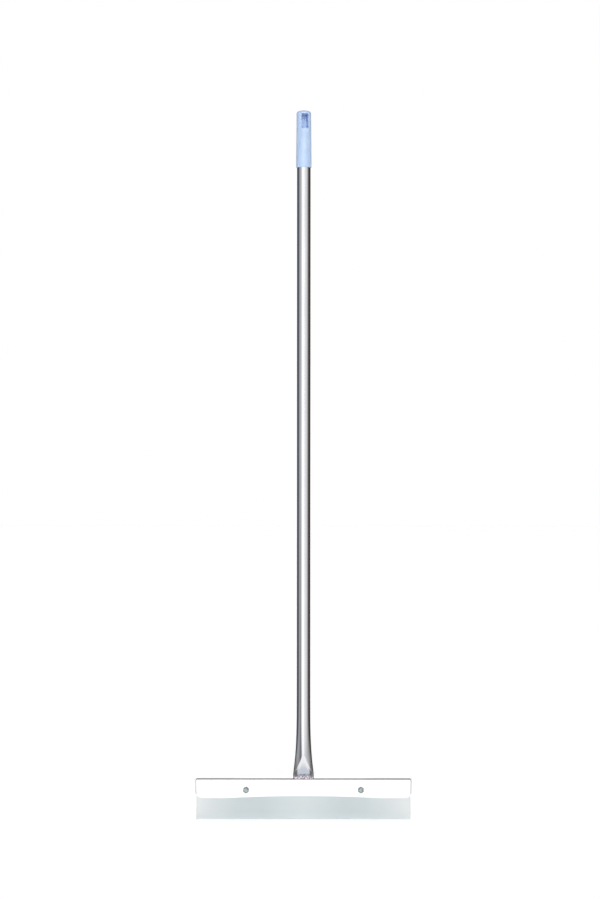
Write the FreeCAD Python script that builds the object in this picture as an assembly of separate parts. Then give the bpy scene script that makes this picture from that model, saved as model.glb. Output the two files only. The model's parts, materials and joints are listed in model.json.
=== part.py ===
import FreeCAD, Part
import math
import os

# Window cleaning squeegee with a long steel handle, in millimetres.
# Origin: middle of the blade's working edge. +Z runs up the handle, the bolt heads face -Y.

# ---- driving dimensions ----
# Silicone blade
BLADE_LENGTH = 400.0
BLADE_THICKNESS = 5.0
BLADE_EXPOSED = 39.6      # rubber below the channel's ends
BLADE_FLEX_ANGLE = 30.0   # how far the lip bends each way

# Channel folded from stainless sheet, which grips the blade
SHEET = 1.2
CHANNEL_OVERHANG = 1.0    # past each end of the blade
CHANNEL_HEIGHT = 36.0     # at its ends
CHANNEL_ARCH = 3.8        # how much the middle of its lower edge is cut higher
ARCH_LENGTH = 297.0       # the lower edge is straight outside this
FOLD_RADIUS = 2.0         # outside of the fold along the top
LOWER_CORNER_RADIUS = 11.0
UPPER_CORNER_RADIUS = 3.0
GAP_OVER_BLADE = 2.0      # air between the blade's top and the fold

# M6 fasteners through channel and blade
BOLT_SPACING = 214.0
BOLT_BELOW_TOP = 20.5
BOLT_RADIUS = 3.0
HEX_WALL = 2.0            # from thread to flat, on heads and nuts
HEAD_HEIGHT = 4.0
RECESS_WIDTH = 1.1        # cross recess in the head
RECESS_SPAN = 4.6
RECESS_DEPTH = 1.9
WASHER_WALL = 2.8
WASHER_THICKNESS = 1.6
SPRING_WALL = 2.4
SPRING_THICKNESS = 1.6
SPRING_SPLIT = 1.0
SPRING_SPLIT_SLANT = 20.0
NUT_HEIGHT = 5.0
THREAD_END = 1.6          # bolt past the nut
CHAMFER_ANGLE = 30.0      # on the corners of hexagons
CHAMFER_FACE = 0.95       # circle that the chamfer leaves on a hexagon, as a share of its flats
TIP_CHAMFER = 0.6         # at the bolt's end
SIDES = {"left": (-1, 20.0), "right": (1, 30.0)}  # side of the handle, turn of the hexagon

# Tube that is the handle, pressed flat at its lower end
TUBE_LENGTH = 1208.6
TUBE_RADIUS = 12.7
TUBE_WALL = 1.0
FOOT_END_ALLOWANCE = 1.3  # of the half circumference, spent on going round the foot's edges
FOOT_FLAT = 6.0           # fully pressed stretch, higher than the weld beads
FLARE_LENGTH = 240.0      # from the flat stretch up to the round tube
FLARE_EASE = 42.7         # the flattening fades over this length
FLARE_POWER = 1.3
FLARE_STEPS = 20          # sections that the flare is drawn through
FLARE_SPACING = 2.0       # above 1 they are closer together near the foot

# A quarter of the tube's outline is four arcs that meet with one tangent: half of the facet that the
# press leaves in front, its crease, the slope beside it, and the edge. They end at these turns from the
# front, in degrees, at the foot and where the facet has been left behind.
FACET_TURN = 3.0
CREASE_TURN = (5.0, 25.0)
SLOPE_TURN = (12.0, 42.0)
TURN_EASE = 0.05          # share of the roundness over which the turns change
FACET_HALF_WIDTH = 11.5   # at the foot
FACET_FADE = 0.62         # roundness at which the facet has closed to a point
FACET_POWER = 1.5
CREASE_RADIUS = 3.0       # at the foot
EDGE_RADIUS = 1.3         # at the foot
EDGE_POWER = 1.5

# Weld beads
BEAD_HEIGHT = 5.5
BEAD_LENGTH = 36.0
BEAD_SET_BACK = 0.25      # from the channel's front or rear face
BEAD_HOLLOW = 0.35        # how far the bead's middle stands behind its toe
BEAD_MIDDLE = 0.45        # height of that middle, as a share of the bead's

# Plastic hand grip with a hanging pocket
GRIP_LENGTH = 106.5
GRIP_BORE_DEPTH = 70.0
GRIP_TOP_WALL = 0.75
GRIP_RIM_WALL = 1.65
GRIP_DOME = 1.4
GRIP_SHOULDER = 4.5
GRIP_RIM_CHAMFER = 0.7
GRIP_TURN = 10.0          # the pocket looks this far to the right of the blade's front
POCKET_WIDTH = 12.8
POCKET_HEIGHT = 27.0
POCKET_FLOOR = 2.5        # web between the tube's end and the pocket
POCKET_BACK_WALL = 3.0
POCKET_CORNER = 1.2
DIMPLE_ABOVE_RIM = 10.3   # punch mark that locks the grip on the tube
DIMPLE_RADIUS = 1.3
DIMPLE_DEPTH = 0.6

# Clearances
SHEET_HOLE_CLEARANCE = 0.3
RUBBER_HOLE_CLEARANCE = 0.1
WASHER_HOLE_CLEARANCE = 0.2
THREAD_CLEARANCE = 0.05
GRIP_CLEARANCE = 0.05
FLEX_CLEARANCE = 0.35     # between the clamped strip and the lip that bends
FLEX_BELOW_CHANNEL = 0.6  # lip's shoulder stays this far under the channel

# ---- worked out from the above ----
HALF_BLADE = BLADE_THICKNESS / 2
CHANNEL_LENGTH = BLADE_LENGTH + 2 * CHANNEL_OVERHANG
HALF_CHANNEL = HALF_BLADE + SHEET
CUTTER_MARGIN = 1.0       # how far a cutter stands out of what it cuts
CHANNEL_TOP = BLADE_EXPOSED + CHANNEL_HEIGHT
BLADE_TOP = CHANNEL_TOP - SHEET - GAP_OVER_BLADE
BOLT_Z = CHANNEL_TOP - BOLT_BELOW_TOP
FLEX_Z = BLADE_EXPOSED - HALF_BLADE * math.sin(math.radians(BLADE_FLEX_ANGLE)) - FLEX_BELOW_CHANNEL
HEX_ACROSS_FLATS = 2 * (BOLT_RADIUS + HEX_WALL)
WASHER_HOLE = BOLT_RADIUS + WASHER_HOLE_CLEARANCE
TUBE_TOP = CHANNEL_TOP + TUBE_LENGTH
FOOT_WIDTH = math.pi * TUBE_RADIUS - FOOT_END_ALLOWANCE
FLARE_BOTTOM = CHANNEL_TOP + FOOT_FLAT
FLARE_TOP = FLARE_BOTTOM + FLARE_LENGTH
GRIP_RIM = TUBE_TOP - GRIP_BORE_DEPTH
GRIP_BORE = TUBE_RADIUS + GRIP_CLEARANCE
GRIP_TOP_RADIUS = GRIP_BORE + GRIP_TOP_WALL
GRIP_RIM_RADIUS = GRIP_BORE + GRIP_RIM_WALL

NEAR = 0.01               # places closer than this are the same
HALF_ROOT = math.sqrt(0.5)

X_AXIS = FreeCAD.Vector(1, 0, 0)
Y_AXIS = FreeCAD.Vector(0, 1, 0)
Z_AXIS = FreeCAD.Vector(0, 0, 1)


def at(x, y, z):
    return FreeCAD.Vector(x, y, z)


def box(low, high):
    """A block between two corners."""
    size = high - low
    return Part.makeBox(size.x, size.y, size.z, low)


def rod_along_y(radius, low_y, high_y, x, z):
    return Part.makeCylinder(radius, high_y - low_y, at(x, low_y, z), Y_AXIS)


# ---- blade ----
def blade_strip():
    """The part of the blade that the channel clamps, with a hollow for the lip's round top."""
    strip = box(at(-BLADE_LENGTH / 2, -HALF_BLADE, FLEX_Z), at(BLADE_LENGTH / 2, HALF_BLADE, BLADE_TOP))
    hollow = Part.makeCylinder(
        HALF_BLADE + FLEX_CLEARANCE, BLADE_LENGTH, at(-BLADE_LENGTH / 2, 0, FLEX_Z), X_AXIS
    )
    return strip.cut([hollow] + bolt_holes(BOLT_RADIUS + RUBBER_HOLE_CLEARANCE, HALF_BLADE))


def blade_lip():
    """The free part of the blade, round along its top so that it can turn."""
    lip = box(at(-BLADE_LENGTH / 2, -HALF_BLADE, 0), at(BLADE_LENGTH / 2, HALF_BLADE, FLEX_Z))
    top = Part.makeCylinder(HALF_BLADE, BLADE_LENGTH, at(-BLADE_LENGTH / 2, 0, FLEX_Z), X_AXIS)
    return lip.fuse(top).removeSplitter()


def bolt_holes(radius, half_depth):
    """Cutters for the two bolts, through a thickness of twice half_depth."""
    return [
        rod_along_y(
            radius, -half_depth - CUTTER_MARGIN, half_depth + CUTTER_MARGIN, side * BOLT_SPACING / 2, BOLT_Z
        )
        for side, _ in SIDES.values()
    ]


# ---- channel ----
def folded_sheet(half_width, top, radius):
    """A bar with its two upper long edges rounded, as far down as the channel goes."""
    half_length = CHANNEL_LENGTH / 2
    bar = box(at(-half_length, -half_width, BLADE_EXPOSED - CUTTER_MARGIN), at(half_length, half_width, top))
    long_edges = [
        e
        for e in bar.Edges
        if abs(e.CenterOfMass.z - top) < NEAR and abs(e.CenterOfMass.x) < NEAR
    ]
    return bar.makeFillet(radius, long_edges)


def channel_outline():
    """The front view of the channel: rounded corners, and a lower edge that arches between straight ends."""
    half = CHANNEL_LENGTH / 2
    low = BLADE_EXPOSED
    top = CHANNEL_TOP
    r = LOWER_CORNER_RADIUS
    u = UPPER_CORNER_RADIUS
    arch = ARCH_LENGTH / 2

    def p(x, z):
        return at(x, -HALF_CHANNEL - CUTTER_MARGIN, z)

    def corner(side, x, z, radius, up):
        """A quarter circle at one end, from its top or bottom edge round to its end edge or back."""
        points = [
            p(side * (x - radius), z),
            p(side * (x - radius + radius * HALF_ROOT), z - up * (radius - radius * HALF_ROOT)),
            p(side * x, z - up * radius),
        ]
        return Part.Arc(*points).toShape()

    edges = [
        Part.makeLine(p(-half + u, top), p(half - u, top)),
        corner(1, half, top, u, 1),
        Part.makeLine(p(half, top - u), p(half, low + r)),
        corner(1, half, low, r, -1),
        Part.makeLine(p(half - r, low), p(arch, low)),
        Part.Arc(p(arch, low), p(0, low + CHANNEL_ARCH), p(-arch, low)).toShape(),
        Part.makeLine(p(-arch, low), p(-half + r, low)),
        corner(-1, half, low, r, -1),
        Part.makeLine(p(-half, low + r), p(-half, top - u)),
        corner(-1, half, top, u, 1),
    ]
    face = Part.Face(Part.Wire(Part.__sortEdges__(edges)))
    return face.extrude(Y_AXIS * 2 * (HALF_CHANNEL + CUTTER_MARGIN))


def blade_channel():
    sheet = folded_sheet(HALF_CHANNEL, CHANNEL_TOP, FOLD_RADIUS)
    inside = folded_sheet(HALF_BLADE, CHANNEL_TOP - SHEET, FOLD_RADIUS - SHEET)
    folded = sheet.cut(inside).common(channel_outline())
    return folded.cut(bolt_holes(BOLT_RADIUS + SHEET_HOLE_CLEARANCE, HALF_CHANNEL))


# ---- fasteners ----
def hexagon(height, x, y, turn):
    """A hexagonal bar along Y."""
    corner = HEX_ACROSS_FLATS / 2 / math.cos(math.radians(30))
    points = []
    for i in range(7):
        a = math.radians(turn + 60 * i)
        points.append(at(x + corner * math.cos(a), y, BOLT_Z + corner * math.sin(a)))
    return Part.Face(Part.makePolygon(points)).extrude(Y_AXIS * height)


def chamfer_cone(x, face_y, inward, height):
    """A cone that trims a hexagon's corners at the face it points out of."""
    flat_radius = HEX_ACROSS_FLATS / 2 * CHAMFER_FACE
    reach = height / math.tan(math.radians(CHAMFER_ANGLE))
    return Part.makeCone(flat_radius, flat_radius + reach, height, at(x, face_y, BOLT_Z), Y_AXIS * inward)


def clamp_bolt(side, turn):
    x = side * BOLT_SPACING / 2
    head_y = -HALF_CHANNEL - HEAD_HEIGHT
    head = hexagon(HEAD_HEIGHT, x, head_y, turn).common(chamfer_cone(x, head_y, 1, HEAD_HEIGHT))
    for angle in (0, 90):
        slot = Part.makeBox(RECESS_SPAN, RECESS_DEPTH, RECESS_WIDTH)
        slot.translate(at(x - RECESS_SPAN / 2, head_y, BOLT_Z - RECESS_WIDTH / 2))
        slot.rotate(at(x, 0, BOLT_Z), Y_AXIS, angle - turn)
        head = head.cut(slot)
    end_y = HALF_CHANNEL + WASHER_THICKNESS + SPRING_THICKNESS + NUT_HEIGHT + THREAD_END
    shank = rod_along_y(BOLT_RADIUS, -HALF_CHANNEL, end_y, x, BOLT_Z)
    tip = [e for e in shank.Edges if abs(e.CenterOfMass.y - end_y) < NEAR]
    return head.fuse(shank.makeChamfer(TIP_CHAMFER, tip)).removeSplitter()


def flat_washer(side, _):
    x = side * BOLT_SPACING / 2
    near = HALF_CHANNEL
    far = near + WASHER_THICKNESS
    disc = rod_along_y(WASHER_HOLE + WASHER_WALL, near, far, x, BOLT_Z)
    return disc.cut(rod_along_y(WASHER_HOLE, near, far, x, BOLT_Z))


def spring_washer(side, _):
    """A split ring, drawn closed up flat as it is under a tight nut."""
    x = side * BOLT_SPACING / 2
    near = HALF_CHANNEL + WASHER_THICKNESS
    far = near + SPRING_THICKNESS
    ring = rod_along_y(WASHER_HOLE + SPRING_WALL, near, far, x, BOLT_Z)
    ring = ring.cut(rod_along_y(WASHER_HOLE, near, far, x, BOLT_Z))
    split = Part.makeBox(SPRING_SPLIT, 3 * SPRING_THICKNESS, 2 * (WASHER_HOLE + SPRING_WALL))
    split.translate(at(x - SPRING_SPLIT / 2, near - SPRING_THICKNESS, BOLT_Z))
    split.rotate(at(x, (near + far) / 2, BOLT_Z), Z_AXIS, SPRING_SPLIT_SLANT)
    return ring.cut(split)


def clamp_nut(side, turn):
    x = side * BOLT_SPACING / 2
    near = HALF_CHANNEL + WASHER_THICKNESS + SPRING_THICKNESS
    far = near + NUT_HEIGHT
    nut = hexagon(NUT_HEIGHT, x, near, turn)
    nut = nut.common(chamfer_cone(x, near, 1, NUT_HEIGHT)).common(chamfer_cone(x, far, -1, NUT_HEIGHT))
    return nut.cut(rod_along_y(BOLT_RADIUS + THREAD_CLEARANCE, near, far, x, BOLT_Z))


# ---- handle tube ----
def roundness(z):
    """0 where the tube is pressed flat, 1 where it is round."""
    if z <= FLARE_BOTTOM:
        return 0.0
    if z >= FLARE_TOP:
        return 1.0
    return 1 - math.exp(-(((z - FLARE_BOTTOM) / FLARE_EASE) ** FLARE_POWER))


def quarter_outline(z, inset):
    """The four arcs of a quarter of the outline: each one's end turn, radius and centre (x, depth)."""
    share = roundness(z)
    pressed = 1 - share
    settled = math.exp(-share / TURN_EASE)
    turns = [
        FACET_TURN,
        CREASE_TURN[1] + (CREASE_TURN[0] - CREASE_TURN[1]) * settled,
        SLOPE_TURN[1] + (SLOPE_TURN[0] - SLOPE_TURN[1]) * settled,
        90.0,
    ]
    turns = [math.radians(turn) for turn in turns]
    sines = [math.sin(turn) for turn in turns]
    closing = max(0.0, 1 - share / FACET_FADE) ** FACET_POWER
    facet = TUBE_RADIUS + (FACET_HALF_WIDTH / sines[0] - TUBE_RADIUS) * closing
    crease = TUBE_RADIUS + (CREASE_RADIUS - TUBE_RADIUS) * pressed
    edge = EDGE_RADIUS + (TUBE_RADIUS - EDGE_RADIUS) * share ** EDGE_POWER
    half_x = TUBE_RADIUS + (FOOT_WIDTH / 2 - TUBE_RADIUS) * pressed
    # The slope spans whatever width the others leave.
    rest = half_x - facet * sines[0] - crease * (sines[1] - sines[0]) - edge * (1 - sines[2])
    radii = [facet, crease, rest / (sines[2] - sines[1]), edge]
    centres = [(half_x - edge, 0.0)]
    for inner, outer, turn in zip(radii[2::-1], radii[:0:-1], turns[2::-1]):
        x, depth = centres[0]
        step = outer - inner
        centres.insert(0, (x + step * math.sin(turn), depth + step * math.cos(turn)))
    return turns, [radius - inset for radius in radii], centres


def section(z, inset):
    """The tube's outline at a height, inset from its outer face: twelve arcs."""
    turns, radii, centres = quarter_outline(z, inset)

    def on_arc(k, turn, side, front):
        x, depth = centres[k]
        return at(side * (x + radii[k] * math.sin(turn)), front * (depth + radii[k] * math.cos(turn)), z)

    arcs = []
    for front in (-1, 1):
        ends = [on_arc(0, turns[0], side, front) for side in (-1, 1)]
        arcs.append(Part.Arc(ends[0], on_arc(0, 0, 1, front), ends[1]))
        for side in (-1, 1):
            for k in (1, 2):
                places = (turns[k - 1], (turns[k - 1] + turns[k]) / 2, turns[k])
                arcs.append(Part.Arc(*[on_arc(k, turn, side, front) for turn in places]))
    for side in (-1, 1):
        ends = [on_arc(3, turns[2], side, front) for front in (-1, 1)]
        arcs.append(Part.Arc(ends[0], on_arc(3, turns[3], side, 1), ends[1]))
    return Part.Wire(Part.__sortEdges__([arc.toShape() for arc in arcs]))


def pressed_foot(inset):
    """The stretch of tube that is pressed fully flat."""
    return Part.Face(section(CHANNEL_TOP, inset)).extrude(Z_AXIS * FOOT_FLAT)


def tube_body(inset):
    """The tube's outer body, or with an inset of its wall the space inside it."""
    shares = [(i / FLARE_STEPS) ** FLARE_SPACING for i in range(FLARE_STEPS + 1)]
    outlines = [section(FLARE_BOTTOM + FLARE_LENGTH * share, inset) for share in shares]
    flare = Part.makeLoft(outlines, True, False)
    straight = Part.makeCylinder(TUBE_RADIUS - inset, TUBE_TOP - FLARE_TOP, at(0, 0, FLARE_TOP), Z_AXIS)
    return flare.fuse([straight, pressed_foot(inset)])


# ---- weld beads ----
def weld_bead(front):
    """A rounded fillet weld between the foot's face and the channel's top."""
    _, radii, centres = quarter_outline(CHANNEL_TOP, 0)
    face = centres[0][1] + radii[0]
    edge = HALF_CHANNEL - BEAD_SET_BACK
    top = CHANNEL_TOP + BEAD_HEIGHT

    def p(depth, z):
        return at(-BEAD_LENGTH / 2, front * depth, z)

    heel = p(face / 2, CHANNEL_TOP)
    toe = p(edge, CHANNEL_TOP)
    crown = p(face / 2, top)
    crown_out = p(face, top)
    middle = p(edge - BEAD_HOLLOW, CHANNEL_TOP + BEAD_HEIGHT * BEAD_MIDDLE)
    edges = [
        Part.makeLine(heel, toe),
        Part.Arc(toe, middle, crown_out).toShape(),
        Part.makeLine(crown_out, crown),
        Part.makeLine(crown, heel),
    ]
    return Part.Face(Part.Wire(edges)).extrude(X_AXIS * BEAD_LENGTH).cut(pressed_foot(0))


# ---- grip ----
def grip_shell():
    """The grip before its pocket is cut: tapered outside, domed, bored for the tube."""
    r_top = GRIP_TOP_RADIUS
    top = GRIP_LENGTH
    shoulder_top = top - GRIP_DOME
    s = HALF_ROOT
    c = GRIP_RIM_CHAMFER

    def p(r, h):
        return at(r, 0, GRIP_RIM + h)

    inner = r_top - GRIP_SHOULDER
    # The dome falls as the square of the distance from the axis, so by a quarter halfway out.
    dome_middle = p(inner / 2, top - GRIP_DOME / 4)
    edges = [
        Part.Arc(p(0, top), dome_middle, p(inner, shoulder_top)).toShape(),
        Part.Arc(
            p(inner, shoulder_top),
            p(inner + GRIP_SHOULDER * s, shoulder_top - GRIP_SHOULDER * (1 - s)),
            p(r_top, shoulder_top - GRIP_SHOULDER),
        ).toShape(),
        Part.makeLine(p(r_top, shoulder_top - GRIP_SHOULDER), p(GRIP_RIM_RADIUS, c)),
        Part.makeLine(p(GRIP_RIM_RADIUS, c), p(GRIP_RIM_RADIUS - c, 0)),
        Part.makeLine(p(GRIP_RIM_RADIUS - c, 0), p(GRIP_BORE, 0)),
        Part.makeLine(p(GRIP_BORE, 0), p(GRIP_BORE, GRIP_BORE_DEPTH)),
        Part.makeLine(p(GRIP_BORE, GRIP_BORE_DEPTH), p(0, GRIP_BORE_DEPTH)),
        Part.makeLine(p(0, GRIP_BORE_DEPTH), p(0, top)),
    ]
    return Part.Face(Part.Wire(edges)).revolve(at(0, 0, 0), Z_AXIS, 360)


def hand_grip():
    floor = TUBE_TOP + POCKET_FLOOR
    back = GRIP_TOP_RADIUS - POCKET_BACK_WALL
    pocket = box(
        at(-POCKET_WIDTH / 2, -GRIP_RIM_RADIUS - CUTTER_MARGIN, floor),
        at(POCKET_WIDTH / 2, back, floor + POCKET_HEIGHT),
    )
    deep_edges = [e for e in pocket.Edges if 1 - abs(e.tangentAt(e.FirstParameter).y) < NEAR]
    pocket = pocket.makeFillet(POCKET_CORNER, deep_edges)
    taper = (GRIP_RIM_RADIUS - GRIP_TOP_RADIUS) * DIMPLE_ABOVE_RIM / GRIP_LENGTH
    face_y = -(GRIP_RIM_RADIUS - taper)
    # The cone is twice as wide and deep as the dimple, and half of it stands out of the face.
    cone_base = at(0, face_y - DIMPLE_DEPTH, GRIP_RIM + DIMPLE_ABOVE_RIM)
    dimple = Part.makeCone(DIMPLE_RADIUS * 2, 0, DIMPLE_DEPTH * 2, cone_base, Y_AXIS)
    for cutter in (pocket, dimple):
        cutter.rotate(at(0, 0, 0), Z_AXIS, GRIP_TURN)
    return grip_shell().cut([pocket, dimple])


# ---- all pieces ----
def make_nodes():
    nodes = {
        "handle_tube": tube_body(0).cut(tube_body(TUBE_WALL)),
        "hand_grip": hand_grip(),
        "blade_channel": blade_channel(),
        "weld_bead_front": weld_bead(-1),
        "weld_bead_rear": weld_bead(1),
        "blade_strip": blade_strip(),
        "blade_lip": blade_lip(),
    }
    makers = {
        "clamp_bolt": clamp_bolt,
        "flat_washer": flat_washer,
        "spring_washer": spring_washer,
        "clamp_nut": clamp_nut,
    }
    for name, maker in makers.items():
        for word, (side, turn) in SIDES.items():
            nodes[f"{name}_{word}"] = maker(side, turn)
    return nodes


os.makedirs("parts", exist_ok=True)
for node, shape in make_nodes().items():
    solids = shape.Solids
    print(node, "solids", len(solids), "valid", shape.isValid(), "volume", round(shape.Volume, 1))
    (solids[0] if len(solids) == 1 else shape).exportStep(f"parts/{node}.step")
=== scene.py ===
import json
import math

import bmesh
import bpy
from mathutils import Matrix, Vector, noise

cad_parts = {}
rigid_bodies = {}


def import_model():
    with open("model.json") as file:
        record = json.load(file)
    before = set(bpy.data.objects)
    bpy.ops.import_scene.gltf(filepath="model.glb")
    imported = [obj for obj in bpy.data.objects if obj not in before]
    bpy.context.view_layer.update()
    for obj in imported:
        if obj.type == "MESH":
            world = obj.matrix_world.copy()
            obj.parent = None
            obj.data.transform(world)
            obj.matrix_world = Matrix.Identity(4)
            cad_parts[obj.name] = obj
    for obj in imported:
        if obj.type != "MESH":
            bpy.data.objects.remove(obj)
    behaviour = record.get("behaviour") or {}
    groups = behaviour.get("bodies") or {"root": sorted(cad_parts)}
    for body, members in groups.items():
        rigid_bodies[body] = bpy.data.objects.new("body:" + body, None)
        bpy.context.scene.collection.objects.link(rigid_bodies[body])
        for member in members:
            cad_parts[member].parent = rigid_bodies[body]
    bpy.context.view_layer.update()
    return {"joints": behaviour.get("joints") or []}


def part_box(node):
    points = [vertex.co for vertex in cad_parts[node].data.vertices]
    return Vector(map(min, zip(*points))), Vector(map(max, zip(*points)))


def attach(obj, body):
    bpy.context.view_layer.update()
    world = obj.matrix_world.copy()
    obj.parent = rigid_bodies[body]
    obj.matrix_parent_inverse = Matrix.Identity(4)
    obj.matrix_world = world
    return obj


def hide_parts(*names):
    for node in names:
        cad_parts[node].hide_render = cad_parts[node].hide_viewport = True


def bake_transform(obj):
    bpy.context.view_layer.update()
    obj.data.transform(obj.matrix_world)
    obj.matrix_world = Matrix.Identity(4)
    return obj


# A window cleaning squeegee: a polished tube pressed flat and welded to a folded steel channel,
# a silicone blade bolted into it, and a plastic grip with a hanging pocket. Metres, +Z up the handle.

bl_info = {
    "name": "Window squeegee",
    "version": (1, 0, 0),
    "blender": (4, 5, 0),
    "location": "3D View > Sidebar > Squeegee",
    "description": "Models a long-handled window squeegee around its packed frame",
    "category": "Add Mesh",
}

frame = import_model()

MM = 0.001
NEAR = 1e-6  # metres: a point that is this close to a plane is on it
SIDES = {"left": 20.0, "right": 30.0}  # turn of each fastener's hexagon, in degrees
UP = Vector((0, 0, 1))

# M6 fasteners: the hexagons, the shank, the cross in the heads, and the radii of the holes round them.
HEX_FLATS = 10 * MM
HEX_ROUNDING = 0.18 * MM
CHAMFER = 30  # degrees, on the hexagons' corners
CHAMFER_START = 0.95  # the flat face in the middle, as a share of the flats
SHANK_RADIUS = 3 * MM
CROSS_REACH, CROSS_DEPTH, CROSS_HALF_WIDTH = 2.3 * MM, 1.9 * MM, 0.55 * MM
NUT_BORE, BLADE_HOLE, WASHER_BORE, CHANNEL_HOLE = 3.05 * MM, 3.1 * MM, 3.2 * MM, 3.3 * MM


# ---- colours and places ----
def linear(code):
    """A #rrggbb colour as the linear numbers that shaders and light work in."""
    values = [int(code[i : i + 2], 16) / 255 for i in (1, 3, 5)]
    return tuple(v / 12.92 if v <= 0.04045 else ((v + 0.055) / 1.055) ** 2.4 for v in values)


def rgba(colour):
    return (*colour, 1.0)


def middle(node):
    low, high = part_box(node)
    return (low + high) / 2


def span(node):
    low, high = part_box(node)
    return high - low


# ---- sizes and colours that a user would change ----
def length(name, text, default):
    return bpy.props.FloatProperty(name=name, description=text, default=default, unit="LENGTH", precision=5)


def colour(name, text, code):
    return bpy.props.FloatVectorProperty(
        name=name, description=text, default=linear(code), size=3, min=0, max=1, subtype="COLOR"
    )


class SqueegeeTubeSettings(bpy.types.PropertyGroup):
    wall: length("Wall", "Thickness of the tube's wall", 1.0 * MM)
    flare: length("Flare", "Height over which the flattening fades out", 42.7 * MM)
    flat: length("Flat foot", "Height that is pressed fully flat", 6.0 * MM)
    facet: length("Facet", "Half width of the pressed facet at the foot", 11.5 * MM)
    crease: length("Crease", "Radius beside the facet at the foot", 3.0 * MM)
    edge: length("Edge", "Radius of the foot's edges", 1.3 * MM)
    steel: colour("Steel", "Polished stainless steel", "#DCDCDE")


class SqueegeeHeadSettings(bpy.types.PropertyGroup):
    sheet: length("Sheet", "Thickness of the folded sheet", 1.2 * MM)
    arch: length("Arch", "How much the middle of the lower edge is cut higher", 3.8 * MM)
    arch_length: length("Arch length", "The lower edge is straight outside this", 297.0 * MM)
    corner: length("Lower corner", "Radius of the cheeks' lower corners", 11.0 * MM)
    upper_corner: length("Upper corner", "Radius of the cheeks' upper corners", 3.0 * MM)
    fold: length("Fold", "Outside radius of the fold", 2.0 * MM)
    sheet_steel: colour("Sheet steel", "Bright annealed stainless sheet", "#F4F4F6")
    weld_grey: colour("Weld", "Bare weld metal", "#BCB9BF")
    weld_tint: colour("Heat tint", "Violet oxide beside a weld", "#85757F")


class SqueegeeBladeSettings(bpy.types.PropertyGroup):
    edge_round: length("Edge", "Rounding of the blade's edges", 0.35 * MM)
    silicone: colour("Silicone", "Milky silicone rubber", "#BAC3C5")
    silicone_pale: colour("Pale silicone", "The same where it is cloudier, at its ends", "#D5D8D9")
    # Painted shade: the colour that the lowest part of the blade turns to, against the light from the
    # floor.
    painted_edge_shade: colour("Worn edge", "The same along the working edge", "#C9D0D2")


class SqueegeeBoltSettings(bpy.types.PropertyGroup):
    thread_pitch: length("Pitch", "Pitch of the thread", 1.0 * MM)
    zinc: colour("Zinc", "Zinc plating with a greenish passivation", "#AAB6B3")
    # Dull zinc also takes the painted shade round the rims of the heads and nuts.
    zinc_dark: colour("Dull zinc", "The same where it has dulled", "#56625F")


class SqueegeeGripSettings(bpy.types.PropertyGroup):
    turn: bpy.props.FloatProperty(
        name="Turn",
        description="How far the hanging pocket looks to the right of the blade's front",
        default=math.radians(10),
        subtype="ANGLE",
    )
    pocket_height: length("Pocket height", "Height of the hanging pocket", 27.0 * MM)
    pocket_drop: length("Pocket drop", "From the grip's top to the pocket's ceiling", 7.0 * MM)
    back_wall: length("Back wall", "Wall behind the pocket", 3.0 * MM)
    bore_depth: length("Bore depth", "How far the tube goes in", 70.0 * MM)
    plastic: colour("Plastic", "Pale blue polyethylene", "#B7CCEB")
    plastic_worn: colour("Rubbed plastic", "The same where hands have dulled it", "#ACC2E1")


class SqueegeeStageSettings(bpy.types.PropertyGroup):
    camera_distance: length("Camera distance", "From the handle to the camera", 3.14)
    camera_height: length("Camera height", "Over the blade's working edge", 0.6891)
    camera_side: length("Camera side", "To the right of the handle", -0.0068)
    lens: bpy.props.FloatProperty(
        name="Lens", description="Focal length", default=67.44, unit="CAMERA"
    )
    camera_roll: bpy.props.FloatProperty(
        name="Camera roll",
        description="Turn about the view axis",
        default=math.radians(-0.035),
        subtype="ANGLE",
    )
    floor: colour("Floor", "Plain pale floor", "#F7F7F7")


# ---- small modelling helpers ----
def deselect():
    if bpy.context.object and bpy.context.object.mode != "OBJECT":
        bpy.ops.object.mode_set(mode="OBJECT")
    for item in list(bpy.context.view_layer.objects):
        if item.select_get():
            item.select_set(False)


def activate(piece):
    deselect()
    piece.select_set(True)
    bpy.context.view_layer.objects.active = piece


def added(name):
    """The primitive that an operator has just added, under its own name."""
    piece = bpy.context.object
    piece.name = name
    piece.data.name = name
    return piece


def block(name, low, high):
    """A box between two corners."""
    deselect()
    centre = (Vector(low) + Vector(high)) / 2
    bpy.ops.mesh.primitive_cube_add(size=1, location=centre)
    piece = added(name)
    piece.scale = Vector(high) - Vector(low)
    settle(piece)
    return piece


def rod(name, radius, start, end, sides=64, ends="NGON"):
    """A straight round bar from one point to another."""
    deselect()
    start = Vector(start)
    along = Vector(end) - start
    bpy.ops.mesh.primitive_cylinder_add(
        vertices=sides, radius=radius, depth=along.length, end_fill_type=ends
    )
    piece = added(name)
    turn = along.to_track_quat("Z", "Y").to_matrix().to_4x4()
    piece.matrix_world = Matrix.Translation(start + along / 2) @ turn
    settle(piece)
    return piece


def settle(piece):
    """Leaves the object at the origin, unturned and unscaled, with its place in its mesh."""
    activate(piece)
    bpy.ops.object.transform_apply(location=True, rotation=True, scale=True)


def pick(piece, test, kind="verts"):
    """In edit mode, selects the vertices, edges or faces that pass a test of their middle."""
    mesh = bmesh.from_edit_mesh(piece.data)
    bpy.ops.mesh.select_all(action="DESELECT")
    modes = {"verts": "VERT", "edges": "EDGE", "faces": "FACE"}
    bpy.ops.mesh.select_mode(type=modes[kind])
    count = 0
    for item in getattr(mesh, kind):
        if kind == "verts":
            place = item.co
        elif kind == "edges":
            place = (item.verts[0].co + item.verts[1].co) / 2
        else:
            place = item.calc_center_median()
        if test(place, item):
            item.select_set(True)
            count += 1
    mesh.select_flush_mode()
    bmesh.update_edit_mesh(piece.data)
    if not count:
        raise RuntimeError(f"nothing to select on {piece.name}")


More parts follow.
